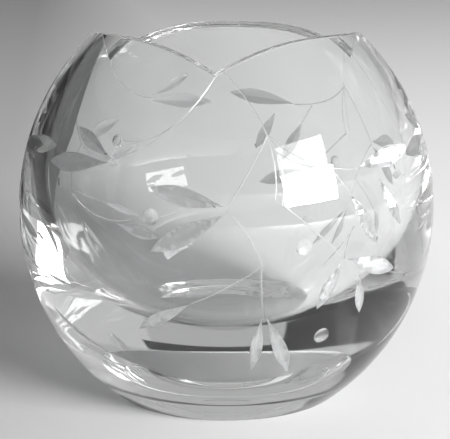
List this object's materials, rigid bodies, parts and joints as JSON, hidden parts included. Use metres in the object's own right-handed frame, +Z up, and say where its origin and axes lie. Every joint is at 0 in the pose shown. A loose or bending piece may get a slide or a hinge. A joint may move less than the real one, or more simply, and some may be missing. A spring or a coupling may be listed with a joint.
{
  "type": "rose bowl vase",
  "caption": "Round clear crystal rose bowl with a thick base, a rim cut into rounded petals, and wheel-cut matt sprays of leaves and berries hanging from the notches.",
  "frame": {"origin": "on the table, under the middle of the bowl", "axes": "+Z up through the mouth; -Y towards the front notch between two petals; +X to the right seen from the front"},
  "size_m": [0.15, 0.15, 0.1315],
  "materials": {
    "clear_crystal": "colourless lead crystal, fire-polished outside and inside, with polished rim and base",
    "matt_crystal": "wheel-ground, matt and translucent"
  },
  "bodies": {
    "root": {"bowl": "clear_crystal", "front_leaves": "matt_crystal", "front_stems": "matt_crystal", "front_berries": "matt_crystal", "right_leaves": "matt_crystal", "right_stems": "matt_crystal", "right_berries": "matt_crystal", "left_leaves": "matt_crystal", "left_stems": "matt_crystal", "left_berries": "matt_crystal"}
  },
  "joints": []
}
